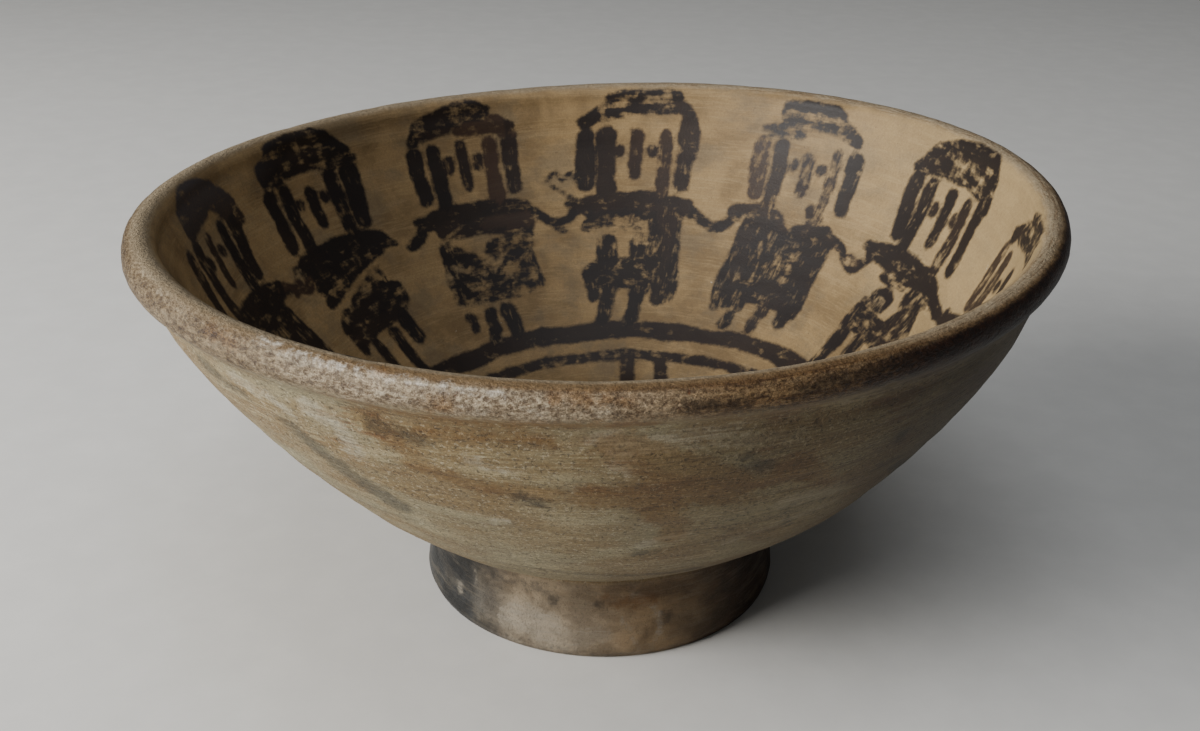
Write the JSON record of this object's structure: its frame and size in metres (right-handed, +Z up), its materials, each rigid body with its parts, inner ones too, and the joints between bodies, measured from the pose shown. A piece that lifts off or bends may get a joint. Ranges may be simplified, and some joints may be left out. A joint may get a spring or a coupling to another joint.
{
  "type": "pedestal bowl",
  "caption": "Flaring fired-clay bowl with a rolled lip on a low hollow ring foot, its inner wall painted with a row of upright figures.",
  "frame": {"origin": "centre of the whole piece's bounding box in X and Y, on the plane that the foot stands on", "axes": "+Z up out of the mouth, -Y towards the viewer of the picture, +X to that viewer's right, where the rim stands higher"},
  "size_m": [0.1794, 0.1804, 0.0893],
  "materials": {
    "fired_clay": "burnished buff to grey-brown clay, smoke-stained foot, dark painted figures inside, worn pale lip"
  },
  "bodies": {
    "root": {"pedestal_bowl": "fired_clay"}
  },
  "joints": []
}
